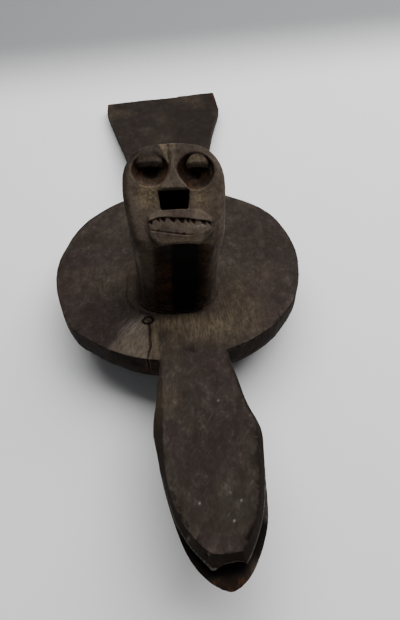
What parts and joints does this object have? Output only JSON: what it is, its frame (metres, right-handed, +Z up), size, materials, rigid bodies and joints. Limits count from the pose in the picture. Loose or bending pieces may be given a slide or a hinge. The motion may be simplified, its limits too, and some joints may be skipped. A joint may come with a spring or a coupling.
{
  "type": "igodo mask",
  "caption": "Horizontal headdress mask carved in one piece of dark wood: a round plate with a slant-faced head, a two-jawed bill, a flared tail and a hollow collar below.",
  "frame": {"origin": "middle of the mask's length and width, on the ground that it lies on", "axes": "+Z up from the ground, +Y towards the tail, -Y towards the bill, +X to the right of someone who looks at the face"},
  "size_m": [0.2232, 0.5872, 0.1792],
  "materials": {
    "dark_wood": "dark smoked and handled patina, dull, worn to brown on the edges and tan on cheeks and plate"
  },
  "bodies": {
    "root": {"mask": "dark_wood"}
  },
  "joints": []
}
